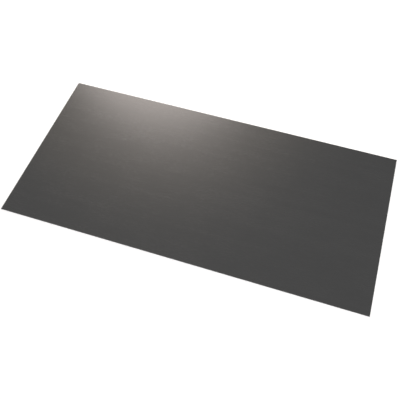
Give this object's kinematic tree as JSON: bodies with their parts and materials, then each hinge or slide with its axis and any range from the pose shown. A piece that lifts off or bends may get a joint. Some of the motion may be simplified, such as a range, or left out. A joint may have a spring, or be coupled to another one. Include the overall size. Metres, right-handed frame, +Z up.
{
  "type": "steel plate",
  "caption": "Flat rectangular plate of thin rolled steel with square corners and sheared edges, raw stock to cut, bend, drill or weld.",
  "frame": {"origin": "centre of the underside, on the surface that the plate lies on", "axes": "+X along the plate's length, which is the rolling direction, +Y across its width, +Z up through its thickness"},
  "size_m": [0.8, 0.4, 0.001],
  "materials": {
    "rolled_steel": "smooth dark grey mill finish, satin, bare"
  },
  "bodies": {
    "root": {"steel_plate": "rolled_steel"}
  },
  "joints": []
}
